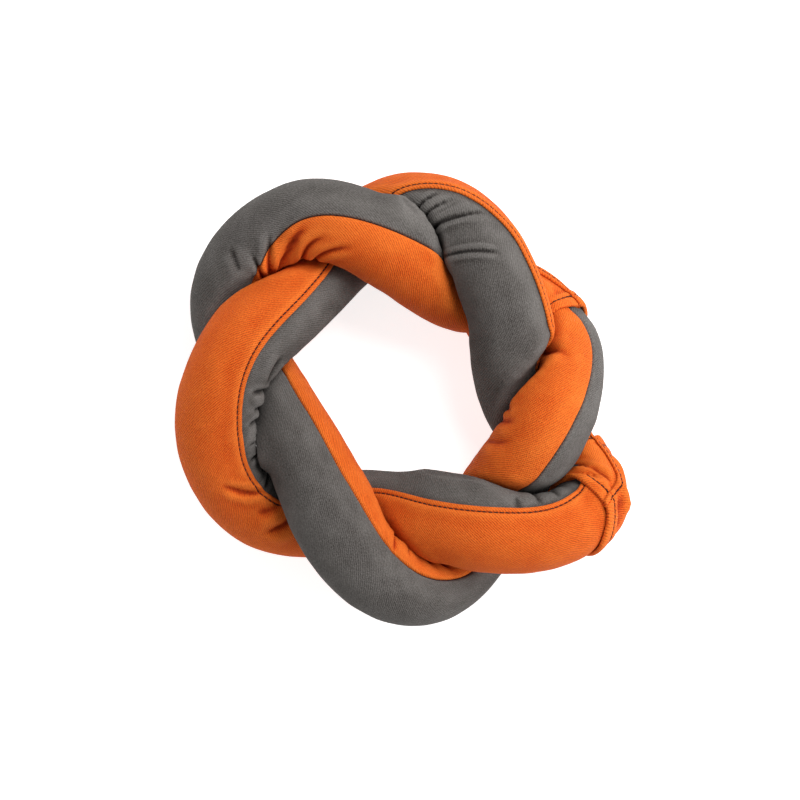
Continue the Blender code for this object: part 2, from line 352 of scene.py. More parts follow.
class Tube:
    """The plain outer surface of one stuffed ring, pressed flat by the other ring and the ground."""

    def __init__(self, route, other):
        self.route = route
        self.other = other.swept_points()
        self.other_at_rest = other.position(np.linspace(0, other.length, OTHER_RING_SAMPLES, endpoint=False))

    def contact_reach(self, centres, rays, other, clearance):
        """How far each ray goes before it is nearer the other ring's points than its own centre line."""
        sizes = tube_settings()
        near = np.zeros(rays.shape[:-1])
        far = np.full(near.shape, sizes.radius * sizes.bulge * LONGEST_RAY)
        for _ in range(RAY_STEPS):
            middle = (near + far) / 2
            points = centres[:, None] + rays * middle[..., None]
            gaps = np.full(near.shape, np.inf)
            for i in range(0, len(other), POINTS_AT_ONCE):
                part = other[i : i + POINTS_AT_ONCE]
                gaps = np.minimum(gaps, np.linalg.norm(points[..., None, :] - part, axis=-1).min(axis=-1))
            clear = gaps - middle > clearance
            near = np.where(clear, middle, near)
            far = np.where(clear, far, middle)
        return near

    def bend_reach(self, rays, bend):
        """How far each ray goes towards the middle of the tube's own bend."""
        inwards = np.sum(rays * bend[:, None], axis=-1)
        return BEND_SHARE / np.maximum(inwards, 1 / (tube_settings().radius * GENTLE_BEND))

    def rough_reach(self, at):
        """The surface's distance from the centre line, at places along and at even angles round."""
        sizes = tube_settings()
        angles = np.linspace(0, 2 * math.pi, ROUGH_TURNS, endpoint=False)[None, :].repeat(len(at), 0)
        centres, outward, upward, bend = self.route.frames(at)
        rays = ray_directions(outward, upward, angles)
        contact = self.contact_reach(centres, rays, self.other, sizes.clearance)
        limits = np.minimum(contact, self.bend_reach(rays, bend))
        floor = floor_reach(centres, rays)
        low = np.full(len(at), sizes.radius * LEAST_RADIUS)
        high = np.full(len(at), sizes.radius * sizes.bulge)
        for _ in range(AREA_STEPS):
            middle = (low + high) / 2
            radii = np.minimum(soft_least(middle[:, None], limits), floor)
            slack = np.mean(radii**2, axis=1) < sizes.radius**2
            low = np.where(slack, middle, low)
            high = np.where(slack, high, middle)
        at_rest = self.contact_reach(centres, rays, self.other_at_rest, CLEARANCE_AT_REST)
        return soft_least(low[:, None], limits), at_rest

    def surface(self, at, angles):
        """(points, room, inwardness) at places along and angles round.

        Room is how far the surface may still swell before it meets the other ring at rest, and inwardness is
        how much it lies on the inside of a bend.
        """
        rows = np.linspace(at[0], at[-1], ROUGH_PLACES)
        reach, contact = self.rough_reach(rows)
        where = (at - at[0]) / (at[-1] - at[0]) * (ROUGH_PLACES - 1)
        reach, contact = (cubic_read(table, where, closed=False) for table in (reach, contact))
        columns = np.mod(angles / (2 * math.pi), 1) * ROUGH_TURNS
        reach = np.stack([cubic_read(row, column, closed=True) for row, column in zip(reach, columns)])
        contact = np.stack([cubic_read(row, column, closed=True) for row, column in zip(contact, columns)])
        centres, outward, upward, bend = self.route.frames(at)
        rays = ray_directions(outward, upward, angles)
        radii = np.minimum(reach, floor_reach(centres, rays))
        inwardness = np.sum(rays * bend[:, None], axis=-1) * radii
        return centres[:, None] + rays * radii[..., None], contact - radii, np.clip(inwardness, 0, 1)


# ---------------------------------------------------------------- folds, and cloth that settles into them

FOLD_FADE = 0.35
BROAD_FOLD = 6.0
FOLD_LIPS = 0.42
PUCKER_WIDTH = 6.5
PUCKER_SPAN = 19.0
PUCKER_DEPTH = 2.0
PUCKER_LEVEL = 0.62
SIMULATION_SCALE = 0.01
SIMULATION_FRAMES = 18
WEIGHT_LEVELS = 50
MOST_SINK = 4.5
MOST_SWELL = 3.0
MOST_SHIFT = 2.5


def fold_heights(at, angles, folds):
    """Heights of listed folds, which fade in and out along their lines from one point to another.

    Each is (place in mm and angle of its start, place and angle of its end, width and depth in mm). A narrow
    fold has a lip on both sides, a broad one is a plain dent, and a negative depth makes a rounded swell.
    """
    radius = tube_settings().radius
    heights = np.zeros(angles.shape)
    for start, start_angle, end, end_angle, width, depth in folds:
        run, climb = end - start, radius * math.radians(end_angle - start_angle)
        length = math.hypot(run, climb)
        along = at[:, None] - start
        round_it = radius * np.radians((np.degrees(angles) - start_angle + 180) % 360 - 180)
        share = (along * run + round_it * climb) / length**2
        away = (along * climb - round_it * run) / length
        window = smooth_step(share / FOLD_FADE) * smooth_step((1 - share) / FOLD_FADE)
        if depth > 0 and width < BROAD_FOLD:
            lips = bell(away - 2 * width, 1.5 * width) + bell(away + 2 * width, 1.5 * width)
            heights += depth * window * (FOLD_LIPS * lips - np.exp(-np.abs(away / width) ** 1.5))
        else:
            heights -= depth * window * bell(away, width)
    return heights


def puckers(at, turns, length, inward, seed):
    """Small uneven folds across the inside of a bend, where the canvas has more length than it needs."""
    radius = tube_settings().radius
    rows, columns = round(length / PUCKER_WIDTH), round(2 * math.pi * radius / PUCKER_SPAN)
    table = np.random.default_rng(seed).uniform(-1, 1, (rows, columns))
    table = cubic_read(table, np.mod(at, length) / length * rows, closed=True)
    level = cubic_read(table.T, np.mod(turns / (2 * math.pi), 1) * columns, closed=True).T
    share = smooth_step((inward - 0.3) / 0.5)
    return PUCKER_DEPTH * share * (np.sqrt(np.abs(level) + 0.01) - PUCKER_LEVEL)


def grid_faces(rows, columns, closed_round):
    """The four-cornered faces of a grid of points, whose last column may join its first."""
    last = columns if closed_round else columns - 1
    i, j = np.meshgrid(np.arange(rows - 1), np.arange(last), indexing="ij")
    after = (j + 1) % columns
    corners = (i * columns + j, i * columns + after, (i + 1) * columns + after, (i + 1) * columns + j)
    return np.stack(corners, axis=-1).reshape(-1, 4)


def settle(points, held, loose, spare):
    """The grid of points after its cloth has settled.

    Held is how firmly each point stays put, and loose is how much of the spare cloth it gets.
    """
    rows, columns = points.shape[:2]
    mesh = bpy.data.meshes.new("settling")
    faces = grid_faces(rows, columns, True)[:, ::-1]
    mesh.from_pydata((points.reshape(-1, 3) * SIMULATION_SCALE).tolist(), [], faces.tolist())
    piece = bpy.data.objects.new("settling", mesh)
    bpy.context.scene.collection.objects.link(piece)
    for name, weights in (("held", held), ("loose", loose)):
        group = piece.vertex_groups.new(name=name)
        levels = np.round(weights.reshape(-1) * WEIGHT_LEVELS).astype(int)
        for level in np.unique(levels):
            group.add(np.nonzero(levels == level)[0].tolist(), float(level) / WEIGHT_LEVELS, "REPLACE")
    cloth = piece.modifiers.new("Cloth", "CLOTH")
    rules = cloth.settings
    rules.quality = 5
    rules.mass = 0.2
    rules.tension_stiffness = rules.compression_stiffness = 12
    rules.shear_stiffness = 4
    rules.bending_stiffness = 0.4
    rules.air_damping = 3
    rules.vertex_group_mass = "held"
    rules.pin_stiffness = 4
    rules.use_pressure = True
    rules.uniform_pressure_force = tube_settings().pressure
    rules.vertex_group_shrink = "loose"
    rules.shrink_min = 0
    rules.shrink_max = -spare
    rules.effector_weights.gravity = 0
    cloth.collision_settings.use_collision = False
    cloth.point_cache.frame_start = 1
    cloth.point_cache.frame_end = SIMULATION_FRAMES
    scene = bpy.context.scene
    for number in range(1, SIMULATION_FRAMES + 1):
        scene.frame_set(number)
    settled = piece.evaluated_get(bpy.context.evaluated_depsgraph_get()).to_mesh()
    found = np.empty(len(settled.vertices) * 3, np.float32)
    settled.vertices.foreach_get("co", found)
    scene.frame_set(1)
    bpy.data.objects.remove(piece)
    bpy.data.meshes.remove(mesh)
    return found.reshape(points.shape).astype(float) / SIMULATION_SCALE


def normals_of(points, closed_round):
    along = np.gradient(points, axis=0)
    if closed_round:
        round_it = np.roll(points, -1, axis=1) - np.roll(points, 1, axis=1)
    else:
        round_it = np.gradient(points, axis=1)
    return unit(np.cross(along, round_it))


class Skin:
    """A cloth surface round a stretch of tube, which can be read at any place and turn."""

    def __init__(self, tube, start, end, places, turns, first_angles, firm):
        self.start, self.end = start, end
        self.at = np.linspace(start, end, places)
        self.turns = np.linspace(0, 2 * math.pi, turns, endpoint=False)
        self.first_angles = first_angles
        plain, self.room, self.inward = tube.surface(self.at, first_angles(self.at)[:, None] + self.turns)
        self.points = plain
        self.normals = normals_of(plain, True)
        self.relax(plain, firm)
        self.points[..., 2] = np.maximum(self.points[..., 2], 0)
        self.normals = normals_of(self.points, True)

    def relax(self, plain, firm):
        """Lets the cloth settle under the push of the stuffing: slack inside bends, held elsewhere."""
        loose = smooth_step((self.inward - 0.1) / 0.4)
        held = np.clip(0.9 - 0.87 * loose, 0.03, 0.9) * firm[None, :] + 0.9 * (1 - firm[None, :])
        held[:3] = held[-3:] = 1
        moved = settle(plain, held, loose, tube_settings().spare_cloth) - plain
        height = np.sum(moved * self.normals, axis=-1)
        sideways = moved - self.normals * height[..., None]
        height = np.clip(height, -MOST_SINK, np.clip(self.room, 0, MOST_SWELL))
        reach = np.linalg.norm(sideways, axis=-1, keepdims=True)
        sideways *= np.minimum(1, MOST_SHIFT / np.maximum(reach, 1e-6))
        self.room = self.room - height
        self.points = plain + self.normals * height[..., None] + sideways

    def level(self, table, at, turns):
        """Values of a table of the surface at places along and turns round."""
        share = (at - self.start) / (self.end - self.start)
        rows = cubic_read(table, share * (len(self.at) - 1), closed=False)
        columns = np.mod(turns / (2 * math.pi), 1) * len(self.turns)
        return cubic_read(rows.swapaxes(0, 1), columns, closed=True).swapaxes(0, 1)

    def folded(self, at, turns, folds, length, seed):
        """Heights of the folds and puckers, no higher than the room beside the other ring allows."""
        angles = self.first_angles(at)[:, None] + turns
        heights = fold_heights(at, angles, folds)
        heights += puckers(at, turns, length, self.level(self.inward, at, turns), seed)
        return np.minimum(heights, np.maximum(self.level(self.room, at, turns), 0))

    def read(self, at, turns, heights):
        """Points above the surface: at and turns are lists, and heights is a table of both."""
        outward = unit(self.level(self.normals, at, turns))
        return self.level(self.points, at, turns) + outward * heights[..., None]


# ---------------------------------------------------------------- meshes


# How far round a point its crease is measured and how strongly it counts; the canvas material paints shade
# and highlight from it
CREASE_REACHES = (1, 3)
CREASE_SCALE = 2.4
STITCH_SECTIONS = 7
STITCH_SIDES = 6
STITCH_DIP = 1.2
STITCH_SLANT = 0.22


def make_piece(name, points, weave, faces, finish):
    """A shown piece from points in millimetres; weave holds each point's place on its flat cloth, and for
    canvas its crease level, from which the material paints shade and highlight.
    """
    mesh = bpy.data.meshes.new(name)
    mesh.from_pydata((points.reshape(-1, 3) * METRES).tolist(), [], faces)
    mesh.shade_smooth()
    mesh.materials.append(bpy.data.materials[f"{finish}_finish"])
    if weave is not None:
        cloth = mesh.attributes.new("weave_place", "FLOAT_VECTOR", "POINT")
        cloth.data.foreach_set("vector", weave.reshape(-1, 3).astype(np.float32).ravel())
    piece = bpy.data.objects.new(name, mesh)
    bpy.context.scene.collection.objects.link(piece)
    return piece


def crease_levels(points):
    """How much each point of a grid lies in a crease, from -1 on a ridge to 1 in a fold."""
    normals = normals_of(points, closed_round=False)
    total = np.zeros(points.shape[:2])
    for reach in CREASE_REACHES:
        around = np.zeros(points.shape)
        for axis in (0, 1):
            for step in (-reach, reach):
                moved = np.roll(points, step, axis=axis)
                edge = [slice(None), slice(None)]
                edge[axis] = slice(0, step) if step > 0 else slice(step, None)
                moved[tuple(edge)] = points[tuple(edge)]
                around += moved / 4
        total += np.sum((around - points) * normals, axis=-1) / reach**1.5
    return np.clip(total * CREASE_SCALE, -1, 1)


def cloth_piece(name, points, at, across, finish):
    """A piece of canvas from a grid of points, with its weave, and its creases, from which the material
    paints shade into folds and a highlight onto ridges.
    """
    points[..., 2] = np.maximum(points[..., 2], 0)
    weave = np.zeros(points.shape)
    weave[..., 0] = at[:, None]
    weave[..., 1] = across[None, :]
    weave[..., 2] = crease_levels(points)
    faces = grid_faces(*points.shape[:2], closed_round=False)[:, ::-1]
    return make_piece(name, points, weave, faces.tolist(), finish)


def stitch_row(name, centres, outs):
    """One row of separate stitches along a fine line of points, each dipping into the cloth at both ends."""
    sewing = sewing_settings()
    radius = sewing.thread_radius
    lengths = np.append(0, np.cumsum(np.linalg.norm(np.diff(centres, axis=0), axis=1)))
    count = int(lengths[-1] / sewing.stitch_length)
    shares = np.linspace(-0.5, 0.5, STITCH_SECTIONS)
    round_it = np.linspace(0, 2 * math.pi, STITCH_SIDES, endpoint=False)
    middles = (np.arange(count) + 0.5) * lengths[-1] / count
    where = middles[:, None] + shares * sewing.stitch_length

    def along(table):
        return np.stack([np.interp(where, lengths, table[:, k]) for k in range(3)], axis=-1)

    spine, out = along(centres), unit(along(outs))
    ahead = unit(spine[:, -1] - spine[:, 0])[:, None]
    side = unit(np.cross(np.broadcast_to(ahead, out.shape), out))
    thick = radius * np.sqrt(1 - (1.7 * shares) ** 2 * 0.9)
    spine = spine + out * (-STITCH_DIP * radius * (2 * shares) ** 4)[None, :, None]
    spine = spine + side * (STITCH_SLANT * shares)[None, :, None]
    ring = np.cos(round_it)[:, None] * side[:, :, None] + np.sin(round_it)[:, None] * out[:, :, None]
    points = spine[:, :, None] + ring * thick[None, :, None, None]
    points[..., 2] = np.maximum(points[..., 2], 0)
    weave = np.zeros(points.shape)
    weave[..., 0] = where[..., None]
    weave[..., 1] = round_it * radius
    per_stitch = STITCH_SECTIONS * STITCH_SIDES
    firsts = np.arange(count)[:, None, None] * per_stitch
    faces = (grid_faces(STITCH_SECTIONS, STITCH_SIDES, closed_round=True) + firsts).reshape(-1, 4).tolist()
    corners = list(range(per_stitch))
    for first in range(0, count * per_stitch, per_stitch):
        for end in (corners[:STITCH_SIDES], corners[: -STITCH_SIDES - 1 : -1]):
            faces.append([first + corner for corner in end])
    return make_piece(name, points, weave, faces, "dark_thread")


def place_piece(piece, body, finish, *stands_for, fill=None):
    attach(piece, body)
    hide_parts(*stands_for)


def sew(ring_name, seam, low, high):
    """A row of stitches along the line low; the line high lies above it and shows which way is out."""
    piece = stitch_row(f"{ring_name}_{seam}_stitches", low, high - low)
    place_piece(piece, ring_name, "dark_thread", f"{ring_name}_{seam}_thread")


# ---------------------------------------------------------------- the two rings

# The slack dents at the start of ring 2's sleeve, in the tube as well as in the sleeve. Folds and dents are
# given as the place along the ring in mm and the angle round it in degrees of their start, the same of their
# end, then their width and depth in mm.
RING_2_LENGTH = 655.7
SLACK_DENTS = ((-36, 66, 10, 74, 13, 7.0), (-46, 90, -6, 88, 13, 8.0))

# Folds of each ring's canvas, and then of its sleeve
RING_FOLDS = {
    "ring_1": (
        # the orange side of the upper left crossing
        (478.5, 2, 453.5, -58, 1.8, 3.0),
        (462.5, -2, 449.5, -56, 1.3, 2.4),
        (501.5, -12, 456.5, -68, 2.2, 2.8),
        (512.5, -20, 474.5, -88, 1.9, 2.6),
        (524.5, -24, 488.5, -100, 1.7, 2.2),
        (456.5, 30, 448.5, -12, 2.0, 1.2),
        (492, -10, 462, -60, 7, 1.6),
        # the inner side of the bottom strand
        (258.5, -120, 246.5, -40, 2.0, 2.6),
        (245.5, -120, 234.5, -42, 1.8, 2.4),
        (231.5, -118, 213.5, -30, 1.9, 3.0),
        (219.5, -112, 201.5, 0, 1.9, 3.0),
        (208.5, -96, 188.5, 20, 2.0, 3.6),
        (197.5, -76, 181.5, 40, 1.8, 3.2),
        # the right strand
        (36.5, -70, 56.5, 14, 3.2, 2.2),
        (56.5, -95, 60.5, -40, 2.4, 1.8),
        (82.5, -110, 84.5, -60, 2.2, 1.2),
        (95.5, -110, 86.5, -42, 2.4, 1.4),
        (112.5, -100, 92.5, -30, 2.8, 1.4),
        # fullness where it presses on the other ring, and along the inside of the bottom strand
        (440, -104, 486, -86, 10, -6.0),
        (316, 84, 352, 62, 9, -6.0),
        (522, 74, 576, 50, 11, -6.0),
        (200, -100, 250, -76, 9, -6.0),
        (190, -92, 350, -94, 12, -3.2),
        (568, 122, 592, 130, 8, -3.5),
    ),
    "ring_2": (
        # the grey side of the left strand
        (326, -58, 303, -80, 2.4, 1.8),
        (302, -105, 297, -44, 1.7, 2.4),
        (289, -110, 286, -60, 1.5, 1.8),
        (280, -110, 276, -50, 1.6, 2.0),
        (265, -110, 262, -44, 1.4, 2.4),
        (259, -110, 254, -48, 1.2, 2.0),
        (253, -105, 250, -38, 1.5, 2.6),
        (238, -100, 236, -50, 1.8, 1.6),
        (231, -85, 226, -30, 1.6, 2.0),
        (295, -120, 291, -52, 3.2, -2.0),
        (284, -120, 281, -55, 2.8, -1.6),
        (271, -120, 269, -50, 3.4, -2.2),
        (246, -120, 244, -50, 3.4, -2.2),
        # the orange side of the left strand
        (224, -30, 246, 12, 2.0, 2.2),
        (190, -20, 211, 34, 3.2, 3.6),
        (208, -24, 222, 6, 3.2, 1.4),
        # the grey side of the top strand
        (469, 34, 447, -46, 1.2, 2.2),
        (475, 30, 456, -50, 1.1, 1.6),
        (489, 44, 463, -66, 1.5, 2.8),
        (509, 22, 489, -54, 1.1, 2.4),
        (484, 30, 474, -30, 7, 1.4),
        # the grey side of the lower right strand
        (63, -60, 61, -28, 2.0, 1.0),
        (52, -80, 50, -36, 2.2, 1.4),
        (36, -80, 38, -40, 2.4, 1.2),
        # fullness where it presses on the other ring
        (356, 105, 390, 108, 8, -3.0),
        (246, -92, 278, -70, 9, -6.0),
        (94, 88, 132, 60, 9, -6.0),
        (466, -104, 504, -60, 10, -6.0),
        (40, -96, 140, -78, 11, -5.0),
        # slack under and beside the sleeve, at both ends of the tube
        *(
            (RING_2_LENGTH + start, first, RING_2_LENGTH + end, last, *size)
            for start, first, end, last, *size in SLACK_DENTS
        ),
        *SLACK_DENTS,
    ),
}
SLEEVE_FOLDS = {
    "ring_1": (
        (-4, 40, 10, 8, 2.6, 1.6),
        (4, 50, 16, 20, 3.0, -1.0),
        (-16, 20, -6, 80, 2.4, 1.6),
        (-20, -60, 18, -90, 2.6, 1.6),
        (-12, 130, 12, 160, 2.8, 1.4),
    ),
    "ring_2": (
        (-14, -58, 7, -2, 2.4, 3.0),
        (17, -72, 6, 12, 2.2, 3.4),
        (3, -12, 9, 22, 1.8, 2.2),
        (22, -70, 12, -8, 2.6, -2.2),
        (-2, -70, -8, 14, 6.5, 2.4),
        (7, 22, 12, 74, 2.4, -2.4),
        (13, 30, 19, 70, 3.2, 1.2),
        (-14, 70, 8, 110, 2.8, 1.6),
        (-4, 120, 16, 150, 2.6, 1.4),
        *SLACK_DENTS,
    ),
}

# Height, size and seed of the small unevenness in the tube's canvas, in a sleeve and in the stuffing
CANVAS_LUMPS = ((0.13, 5.5, 4), (0.35, 19, 6))
SLEEVE_LUMPS = ((0.4, 7, 8),)
STUFFING_LUMPS = ((0.8, 14, 5),)
CANVAS_PUCKERS_SEED = 6
SLEEVE_PUCKERS_SEED = 9

# Half the gap between a ring's ends, and the steps of the panels' and sleeves' grids along and round the tube
BUTT = 1.5
PLACE_STEP = 1.05
TURN_STEP = 1.1
SLEEVE_PLACE_STEP = 0.9
SLEEVE_TURN_STEP = 1.0
EDGE_REACH = 11.0
SEAM_SAMPLES = 1300
SLEEVE_SEAM_SAMPLES = 400
SLEEVE_SEAM_MARGIN = 1.2
HEM_SAMPLES = 900
NECK_DEPTH = 1.3
NECK_FADE = 9
STUFFING_PLACES = 180
STUFFING_TURNS = 32
STUFFING_DEPTH = 6.5
SLEEVE_RISE = 0.9
SLEEVE_PLACES = 58
HEM_RISE = 0.8

# How ring 2's sleeve is pulled askew at its far mouth: by how much in mm, and from which angle in degrees
MOUTH_SLANT = 4.5
MOUTH_SLANT_ANGLE = 35
MOUTH_SLANT_STEEPNESS = 2.2


def edge_profile(kind):
    """A turned edge as (distance from the seam line, height) in mm, from its hidden end outwards."""
    sewing = sewing_settings()
    rise, deep, inset = sewing.lap_rise, sewing.seam_depth, sewing.topstitch_inset
    if kind == "over":
        return (
            (2.2, -0.9), (0.5, -0.75), (0.05, -0.45), (-0.12, 0.1), (-0.02, 0.5), (0.25, rise - 0.12),
            (0.7, rise), (1.3, rise + 0.05), (inset - 0.75, rise - 0.15), (inset - 0.35, rise - 0.6),
            (inset, rise - 0.8), (inset + 0.35, rise - 0.55), (inset + 0.8, rise - 0.15),
            (inset + 1.6, rise - 0.05), (inset + 2.9, rise * 0.72), (inset + 4.4, rise * 0.4),
            (inset + 6.2, rise * 0.12), (EDGE_REACH, 0),
        )
    if kind == "under":
        return (
            (-2.6, -1.1), (-1.2, -0.85), (-0.2, -0.7), (0.4, -0.6), (1, -0.46), (1.8, -0.3), (3, -0.15),
            (4.5, -0.05), (6.2, 0), (8.4, 0), (EDGE_REACH, 0),
        )
    return (
        (0.5, -deep - 2.4), (0.2, -deep - 1.2), (0.2, -deep - 0.2), (0.24, -0.8 * deep), (0.46, -0.5 * deep),
        (0.85, -0.28 * deep), (1.4, -0.14 * deep), (2.1, -0.06 * deep), (3.1, -0.02 * deep), (4.4, 0),
        (6.2, 0), (8.4, 0), (EDGE_REACH, 0),
    )


def cloth_columns(width, first_kind, last_kind, step):
    """(across, heights) of a cloth's columns, between edges that are turned in two ways."""
    first = list(edge_profile(first_kind))
    last = [(width - place, height) for place, height in reversed(edge_profile(last_kind))]
    count = round((width - 2 * EDGE_REACH) / step)
    middle = [(place, 0) for place in np.linspace(EDGE_REACH, width - EDGE_REACH, count + 1)[1:-1]]
    columns = np.array(first + middle + last)
    return columns[:, 0], columns[:, 1]


def lumps(at, turns, length, sizes):
    return sum(height * soft_noise(at, turns, length, spot, seed) for height, spot, seed in sizes)


RINGS = {}


class BumperRing:
    """One ring: its tube's surface, its sleeve's surface and the pieces made on them."""

    def __init__(self, name, route, other, outer, seam_kinds):
        self.name = name
        self.route = route
        self.outer = outer
        self.top_kind, self.under_kind = seam_kinds
        tube = Tube(route, other)
        sewing = sewing_settings()
        turns = np.linspace(0, 2 * math.pi, GRID_TURNS, endpoint=False)
        firm = 1 - 0.75 * bell(np.sin(turns), 0.12)
        self.skin = Skin(tube, BUTT, route.length - BUTT, GRID_PLACES, GRID_TURNS, route.seams, firm)
        half = sewing.sleeve_length / 2
        places, seam_angles = zip(*SLEEVE_SEAMS[name])
        firm = 1 - 0.6 * bell(np.sin(turns / 2), 0.1)
        self.sleeve = Skin(
            tube, -half - MOUTH_SLANT, half + MOUTH_SLANT, SLEEVE_PLACES, GRID_TURNS,
            lambda at: np.radians(np.interp(at, places, seam_angles)), firm
        )

    def neck(self, at):
        """How much lower the tube lies inside its sleeve."""
        from_sleeve = np.minimum(at, self.route.length - at) - sewing_settings().sleeve_length / 2
        return NECK_DEPTH * smooth_step(1 - from_sleeve / NECK_FADE)

    def soft_shape(self, at, turns):
        """Heights of the ring's folds, puckers and small unevenness."""
        length = self.route.length
        folded = self.skin.folded(at, turns, RING_FOLDS[self.name], length, CANVAS_PUCKERS_SEED)
        return lumps(at, turns, length, CANVAS_LUMPS) + folded

    def places(self, count):
        return np.linspace(BUTT, self.route.length - BUTT, count)

    def panel(self, colour, first_turn, first_kind, last_kind):
        radius = tube_settings().radius
        at = self.places(round(self.route.length / PLACE_STEP))
        across, heights = cloth_columns(math.pi * radius, first_kind, last_kind, TURN_STEP)
        turns = first_turn + across / radius
        heights = heights[None, :] - self.neck(at)[:, None] + self.soft_shape(at, turns)
        points = self.skin.read(at, turns, heights)
        piece = cloth_piece(f"{self.name}_{colour}_canvas", points, at, across, f"{colour}_canvas")
        place_piece(piece, self.name, f"{colour}_canvas", f"{self.name}_{colour}_panel", fill=SOFT_FILL)

    def panels(self):
        if self.outer == "grey":
            self.panel("grey", 0, "plain", "under")
            self.panel("orange", math.pi, "over", "plain")
        else:
            self.panel("orange", 0, "over", "plain")
            self.panel("grey", math.pi, "plain", "under")

    def long_seams(self):
        self.seam_stitches("top", 0, self.top_kind)
        self.seam_stitches("under", math.pi, self.under_kind)

    def stuffing(self):
        at = self.places(STUFFING_PLACES)
        turns = np.linspace(0, 2 * math.pi, STUFFING_TURNS, endpoint=False)
        heights = -self.neck(at)[:, None] - STUFFING_DEPTH + np.zeros((len(at), len(turns)))
        clumps = lumps(at, turns, self.route.length, STUFFING_LUMPS)
        dents = np.minimum(self.soft_shape(at, turns), 0)
        points = self.skin.read(at, turns, heights + clumps + dents)
        faces = grid_faces(len(at), len(turns), closed_round=True)[:, ::-1]
        piece = make_piece(f"{self.name}_stuffing", points, None, faces.tolist(), "stuffing")
        place_piece(piece, self.name, "stuffing", f"{self.name}_stuffing_core", fill=SOFT_FILL)

    def seam_stitches(self, which, turn, kind):
        """The stitches of one long seam: on the lapped edge, or deep in a plain seam."""
        sewing = sewing_settings()
        at = self.places(SEAM_SAMPLES)
        inset = sewing.topstitch_inset / tube_settings().radius if kind == "lapped" else 0
        height = sewing.lap_rise - 0.62 if kind == "lapped" else -0.86 * sewing.seam_depth
        turns = np.array([turn + inset])
        base = height - self.neck(at)[:, None] + self.soft_shape(at, turns)
        low, high = (self.skin.read(at, turns, base + step)[:, 0] for step in (0, 1))
        sew(self.name, f"{which}_seam", low, high)


def hem_profile():
    """A sleeve's end hem as (distance from its end, height) in mm, from the turned-in cloth inwards."""
    sewing = sewing_settings()
    top, inset, width = SLEEVE_RISE + HEM_RISE, sewing.hem_inset, sewing.hem_width
    return (
        (3.4, -0.95), (1.5, -0.95), (0.5, -0.85), (0.1, -0.6), (-0.05, -0.15), (-0.05, 0.5), (0.1, top - 0.5),
        (0.4, top - 0.15), (0.9, top), (1.8, top + 0.05), (inset - 1.3, top), (inset - 0.6, top - 0.25),
        (inset, top - 0.75), (inset + 0.6, top - 0.25), (inset + 1.3, top - 0.05), (width - 0.6, top - 0.1),
        (width + 0.1, top - 0.45), (width + 0.8, SLEEVE_RISE), (width + 2.2, SLEEVE_RISE),
    )


class JoiningSleeve:
    """The sleeve over a ring's ends: a wrapped piece of canvas with a hem at both ends and a lapped seam."""

    def __init__(self, ring):
        self.ring = ring
        self.half = sewing_settings().sleeve_length / 2

    def rows(self):
        profile = hem_profile()
        start = [(place - self.half, height) for place, height in profile]
        end = [(-place, height) for place, height in reversed(start)]
        count = round((end[0][0] - start[-1][0]) / SLEEVE_PLACE_STEP)
        middle = [(place, SLEEVE_RISE) for place in np.linspace(start[-1][0], end[0][0], count + 1)[1:-1]]
        rows = np.array(start + middle + end)
        return rows[:, 0], rows[:, 1]

    def columns(self):
        radius = tube_settings().radius
        across, heights = cloth_columns(2 * math.pi * radius, "over", "under", SLEEVE_TURN_STEP)
        return across / radius, heights, across

    def soft_shape(self, at, turns):
        """Heights of the sleeve's folds and of its small creases."""
        ring, length = self.ring, self.ring.route.length
        folded = ring.sleeve.folded(at, turns, SLEEVE_FOLDS[ring.name], length, SLEEVE_PUCKERS_SEED)
        return lumps(at, turns, length, SLEEVE_LUMPS) + folded

    def slanted(self, at, turn):
        """Places along the sleeve at one turn round it, after its far mouth has been pulled askew."""
        if self.ring.name == "ring_1":
            return at
        angle = self.ring.sleeve.first_angles(at) + turn - math.radians(MOUTH_SLANT_ANGLE)
        pull = MOUTH_SLANT * np.tanh(MOUTH_SLANT_STEEPNESS * np.sin(angle))
        return at + pull * smooth_step((at + 4) / self.half)

    def read(self, at, turns, heights):
        """Points on the sleeve: each column of heights stands at its own turn."""
        skin = self.ring.sleeve
        columns = []
        for i, turn in enumerate(turns):
            places, here = self.slanted(at, turn), turns[i : i + 1]
            height = heights[:, i : i + 1] + self.soft_shape(places, here)
            columns.append(skin.read(places, here, height)[:, 0])
        return np.stack(columns, axis=1)

    def canvas(self):
        ring = self.ring
        at, lengthwise = self.rows()
        turns, round_it, across = self.columns()
        points = self.read(at, turns, lengthwise[:, None] + round_it[None, :])
        piece = cloth_piece(f"{ring.name}_sleeve_canvas", points, at, across, "sleeve_canvas")
        place_piece(piece, ring.name, "sleeve_canvas", f"{ring.name}_joining_sleeve", fill=SOFT_FILL)

    def seam_stitches(self):
        sewing = sewing_settings()
        at = np.linspace(SLEEVE_SEAM_MARGIN - self.half, self.half - SLEEVE_SEAM_MARGIN, SLEEVE_SEAM_SAMPLES)
        ridge = np.interp(at, *self.rows())
        turns = np.array([sewing.topstitch_inset / tube_settings().radius])
        base = (ridge + sewing.lap_rise - 0.42)[:, None]
        low, high = (self.read(at, turns, base + step)[:, 0] for step in (0, 1))
        sew(self.ring.name, "sleeve_seam", low, high)

    def hem_stitches(self, end):
        place = (1 if end == "end" else -1) * (self.half - sewing_settings().hem_inset)
        at = np.array([place - 1, place, place + 1])
        turns, round_it, _ = self.columns()
        fine = np.linspace(0.05, 2 * math.pi, HEM_SAMPLES)
        seam = np.maximum(np.interp(fine, turns, round_it), 0)
        base = SLEEVE_RISE + HEM_RISE - 0.5 + seam + np.zeros((len(at), len(fine)))
        low, high = (self.read(at, fine, base + step)[1] for step in (0, 1))
        sew(self.ring.name, f"sleeve_{end}_hem", low, high)


